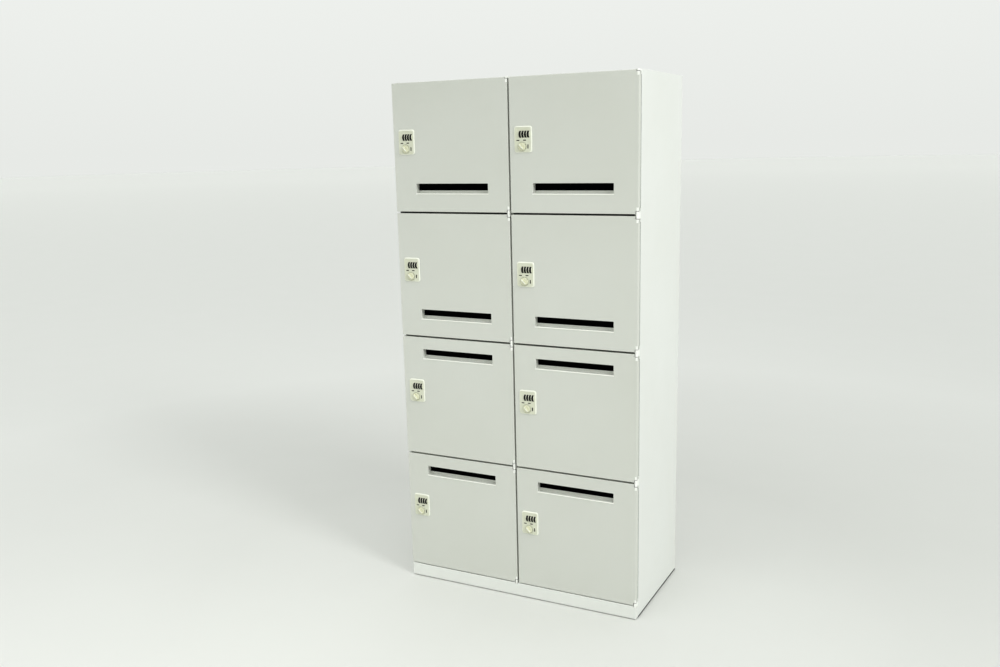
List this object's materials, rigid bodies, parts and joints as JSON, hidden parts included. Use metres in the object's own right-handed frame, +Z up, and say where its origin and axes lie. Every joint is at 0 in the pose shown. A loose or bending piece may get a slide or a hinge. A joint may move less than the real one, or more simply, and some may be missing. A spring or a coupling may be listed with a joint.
{
  "type": "mail locker with combination locks",
  "caption": "Free-standing steel locker with two columns of hinged doors, each with a mail slot and a number-wheel combination lock.",
  "frame": {"origin": "on the floor under the middle of the whole object, lock knobs included", "axes": "+X to the right of a person facing the doors, +Y from the doors to the back, +Z up"},
  "size_m": [0.9, 0.463, 1.83],
  "materials": {
    "door_powder_coat": "satin powder coat, warm light grey, finely textured",
    "cabinet_powder_coat": "satin powder coat, off-white, finely textured",
    "hinge_paint": "satin powder coat on formed steel",
    "lock_plastic": "moulded cream plastic, satin",
    "wheel_plastic": "moulded black plastic with white digits",
    "knob_plastic": "moulded cream plastic, slightly glossy",
    "zinc_plated_steel": "zinc plated, dull"
  },
  "bodies": {
    "cabinet": {"side_panel_left": "cabinet_powder_coat", "side_panel_right": "cabinet_powder_coat", "top_panel": "cabinet_powder_coat", "bottom_panel": "cabinet_powder_coat", "back_panel": "cabinet_powder_coat", "centre_partition": "cabinet_powder_coat", "base_plinth": "door_powder_coat", "levelling_foot_front_left": "zinc_plated_steel", "levelling_foot_front_right": "zinc_plated_steel", "levelling_foot_rear_left": "zinc_plated_steel", "levelling_foot_rear_right": "zinc_plated_steel", "shelf_left_1": "cabinet_powder_coat", "shelf_left_2": "cabinet_powder_coat", "shelf_left_3": "cabinet_powder_coat", "shelf_right_1": "cabinet_powder_coat", "shelf_right_2": "cabinet_powder_coat", "shelf_right_3": "cabinet_powder_coat", "hinge_bracket_left_1": "hinge_paint", "hinge_bracket_left_2": "hinge_paint", "hinge_bracket_left_3": "hinge_paint", "hinge_bracket_left_4": "hinge_paint", "hinge_bracket_left_5": "hinge_paint", "hinge_bracket_right_1": "hinge_paint", "hinge_bracket_right_2": "hinge_paint", "hinge_bracket_right_3": "hinge_paint", "hinge_bracket_right_4": "hinge_paint", "hinge_bracket_right_5": "hinge_paint"},
    "door_left_1": {"door_left_1": "door_powder_coat", "lock_housing_left_1": "lock_plastic"},
    "door_left_2": {"door_left_2": "door_powder_coat", "lock_housing_left_2": "lock_plastic"},
    "door_left_3": {"door_left_3": "door_powder_coat", "lock_housing_left_3": "lock_plastic"},
    "door_left_4": {"door_left_4": "door_powder_coat", "lock_housing_left_4": "lock_plastic"},
    "door_right_1": {"door_right_1": "door_powder_coat", "lock_housing_right_1": "lock_plastic"},
    "door_right_2": {"door_right_2": "door_powder_coat", "lock_housing_right_2": "lock_plastic"},
    "door_right_3": {"door_right_3": "door_powder_coat", "lock_housing_right_3": "lock_plastic"},
    "door_right_4": {"door_right_4": "door_powder_coat", "lock_housing_right_4": "lock_plastic"},
    "knob_left_1": {"lock_knob_left_1": "knob_plastic"},
    "knob_left_2": {"lock_knob_left_2": "knob_plastic"},
    "knob_left_3": {"lock_knob_left_3": "knob_plastic"},
    "knob_left_4": {"lock_knob_left_4": "knob_plastic"},
    "knob_right_1": {"lock_knob_right_1": "knob_plastic"},
    "knob_right_2": {"lock_knob_right_2": "knob_plastic"},
    "knob_right_3": {"lock_knob_right_3": "knob_plastic"},
    "knob_right_4": {"lock_knob_right_4": "knob_plastic"},
    "wheels_left_1": {"number_wheels_left_1": "wheel_plastic"},
    "wheels_left_2": {"number_wheels_left_2": "wheel_plastic"},
    "wheels_left_3": {"number_wheels_left_3": "wheel_plastic"},
    "wheels_left_4": {"number_wheels_left_4": "wheel_plastic"},
    "wheels_right_1": {"number_wheels_right_1": "wheel_plastic"},
    "wheels_right_2": {"number_wheels_right_2": "wheel_plastic"},
    "wheels_right_3": {"number_wheels_right_3": "wheel_plastic"},
    "wheels_right_4": {"number_wheels_right_4": "wheel_plastic"}
  },
  "joints": [
    {"name": "door_hinge_left_1", "type": "hinge", "parent": "cabinet", "child": "door_left_1", "pos_m": [-0.008, -0.2135, 1.6075], "axis": [0, 0, 1], "range_deg": [0, 110]},
    {"name": "door_hinge_left_2", "type": "hinge", "parent": "cabinet", "child": "door_left_2", "pos_m": [-0.008, -0.2135, 1.1625], "axis": [0, 0, 1], "range_deg": [0, 110]},
    {"name": "door_hinge_left_3", "type": "hinge", "parent": "cabinet", "child": "door_left_3", "pos_m": [-0.008, -0.2135, 0.7175], "axis": [0, 0, 1], "range_deg": [0, 110]},
    {"name": "door_hinge_left_4", "type": "hinge", "parent": "cabinet", "child": "door_left_4", "pos_m": [-0.008, -0.2135, 0.2725], "axis": [0, 0, 1], "range_deg": [0, 110]},
    {"name": "door_hinge_right_1", "type": "hinge", "parent": "cabinet", "child": "door_right_1", "pos_m": [0.445, -0.2135, 1.6075], "axis": [0, 0, 1], "range_deg": [0, 110]},
    {"name": "door_hinge_right_2", "type": "hinge", "parent": "cabinet", "child": "door_right_2", "pos_m": [0.445, -0.2135, 1.1625], "axis": [0, 0, 1], "range_deg": [0, 110]},
    {"name": "door_hinge_right_3", "type": "hinge", "parent": "cabinet", "child": "door_right_3", "pos_m": [0.445, -0.2135, 0.7175], "axis": [0, 0, 1], "range_deg": [0, 110]},
    {"name": "door_hinge_right_4", "type": "hinge", "parent": "cabinet", "child": "door_right_4", "pos_m": [0.445, -0.2135, 0.2725], "axis": [0, 0, 1], "range_deg": [0, 110]},
    {"name": "knob_turn_left_1", "type": "hinge", "parent": "door_left_1", "child": "knob_left_1", "pos_m": [-0.4005, -0.2215, 1.6038], "axis": [0, 1, 0], "range_deg": [0, 90]},
    {"name": "knob_turn_left_2", "type": "hinge", "parent": "door_left_2", "child": "knob_left_2", "pos_m": [-0.4005, -0.2215, 1.1588], "axis": [0, 1, 0], "range_deg": [0, 90]},
    {"name": "knob_turn_left_3", "type": "hinge", "parent": "door_left_3", "child": "knob_left_3", "pos_m": [-0.4005, -0.2215, 0.7138], "axis": [0, 1, 0], "range_deg": [0, 90]},
    {"name": "knob_turn_left_4", "type": "hinge", "parent": "door_left_4", "child": "knob_left_4", "pos_m": [-0.4005, -0.2215, 0.2688], "axis": [0, 1, 0], "range_deg": [0, 90]},
    {"name": "knob_turn_right_1", "type": "hinge", "parent": "door_right_1", "child": "knob_right_1", "pos_m": [0.0495, -0.2215, 1.6038], "axis": [0, 1, 0], "range_deg": [0, 90]},
    {"name": "knob_turn_right_2", "type": "hinge", "parent": "door_right_2", "child": "knob_right_2", "pos_m": [0.0495, -0.2215, 1.1588], "axis": [0, 1, 0], "range_deg": [0, 90]},
    {"name": "knob_turn_right_3", "type": "hinge", "parent": "door_right_3", "child": "knob_right_3", "pos_m": [0.0495, -0.2215, 0.7138], "axis": [0, 1, 0], "range_deg": [0, 90]},
    {"name": "knob_turn_right_4", "type": "hinge", "parent": "door_right_4", "child": "knob_right_4", "pos_m": [0.0495, -0.2215, 0.2688], "axis": [0, 1, 0], "range_deg": [0, 90]},
    {"name": "wheels_spin_left_1", "type": "hinge", "parent": "door_left_1", "child": "wheels_left_1", "pos_m": [-0.392, -0.2135, 1.6435], "axis": [1, 0, 0], "continuous": true},
    {"name": "wheels_spin_left_2", "type": "hinge", "parent": "door_left_2", "child": "wheels_left_2", "pos_m": [-0.392, -0.2135, 1.1985], "axis": [1, 0, 0], "continuous": true},
    {"name": "wheels_spin_left_3", "type": "hinge", "parent": "door_left_3", "child": "wheels_left_3", "pos_m": [-0.392, -0.2135, 0.7535], "axis": [1, 0, 0], "continuous": true},
    {"name": "wheels_spin_left_4", "type": "hinge", "parent": "door_left_4", "child": "wheels_left_4", "pos_m": [-0.392, -0.2135, 0.3085], "axis": [1, 0, 0], "continuous": true},
    {"name": "wheels_spin_right_1", "type": "hinge", "parent": "door_right_1", "child": "wheels_right_1", "pos_m": [0.058, -0.2135, 1.6435], "axis": [1, 0, 0], "continuous": true},
    {"name": "wheels_spin_right_2", "type": "hinge", "parent": "door_right_2", "child": "wheels_right_2", "pos_m": [0.058, -0.2135, 1.1985], "axis": [1, 0, 0], "continuous": true},
    {"name": "wheels_spin_right_3", "type": "hinge", "parent": "door_right_3", "child": "wheels_right_3", "pos_m": [0.058, -0.2135, 0.7535], "axis": [1, 0, 0], "continuous": true},
    {"name": "wheels_spin_right_4", "type": "hinge", "parent": "door_right_4", "child": "wheels_right_4", "pos_m": [0.058, -0.2135, 0.3085], "axis": [1, 0, 0], "continuous": true}
  ]
}
